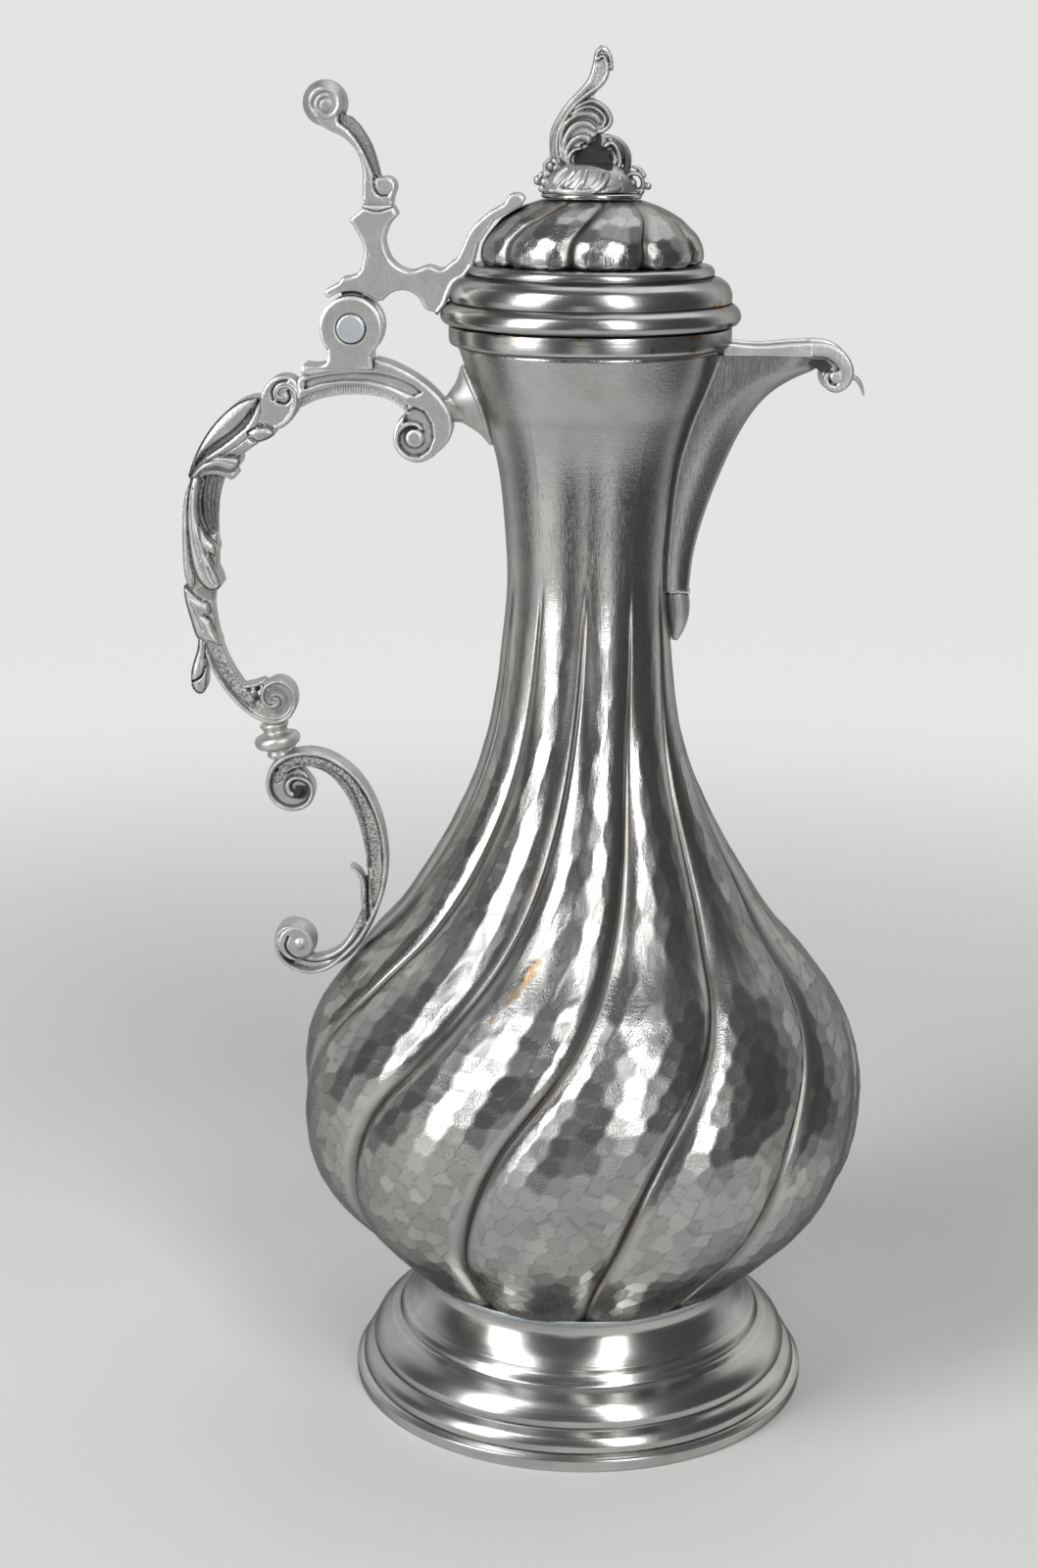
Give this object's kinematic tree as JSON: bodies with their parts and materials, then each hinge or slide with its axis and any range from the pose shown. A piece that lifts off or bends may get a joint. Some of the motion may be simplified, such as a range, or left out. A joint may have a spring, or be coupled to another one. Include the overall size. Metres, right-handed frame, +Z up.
{
  "type": "wine jug",
  "caption": "Pewter wine jug with a lobed body, scroll handle, trough spout and hinged domed lid.",
  "frame": {"origin": "centre of the foot's rest face", "axes": "+Z up along the body's axis, +X towards the spout, handle towards -X"},
  "size_m": [0.183, 0.1529, 0.3584],
  "materials": {
    "pewter_sheet": "satin",
    "pewter_cast": "satin"
  },
  "bodies": {
    "jug": {"foot_ring": "pewter_sheet", "foot": "pewter_sheet", "foot_collar": "pewter_sheet", "bowl": "pewter_sheet", "shoulder": "pewter_sheet", "neck": "pewter_sheet", "mouth_band": "pewter_sheet", "spout": "pewter_sheet", "spout_rim_near": "pewter_cast", "spout_rim_far": "pewter_cast", "spout_volute": "pewter_cast", "spout_tongue": "pewter_cast", "spout_drop": "pewter_cast", "handle_flange": "pewter_cast", "handle_arch": "pewter_cast", "handle_grip": "pewter_cast", "handle_knop": "pewter_cast", "handle_lower": "pewter_cast", "hinge_bracket": "pewter_cast", "hinge_pin": "pewter_cast"},
    "lid": {"lid_rim": "pewter_sheet", "lid_dome": "pewter_sheet", "lid_flange": "pewter_sheet", "lid_strap": "pewter_cast", "thumbpiece": "pewter_cast", "finial_disc": "pewter_cast", "finial_mound": "pewter_cast", "finial_plume": "pewter_cast", "finial_curl": "pewter_cast"}
  },
  "joints": [
    {"name": "lid_hinge", "type": "hinge", "parent": "jug", "child": "lid", "pos_m": [-0.0604, 0, 0.289], "axis": [0, -1, 0], "range_deg": [0, 90]}
  ]
}
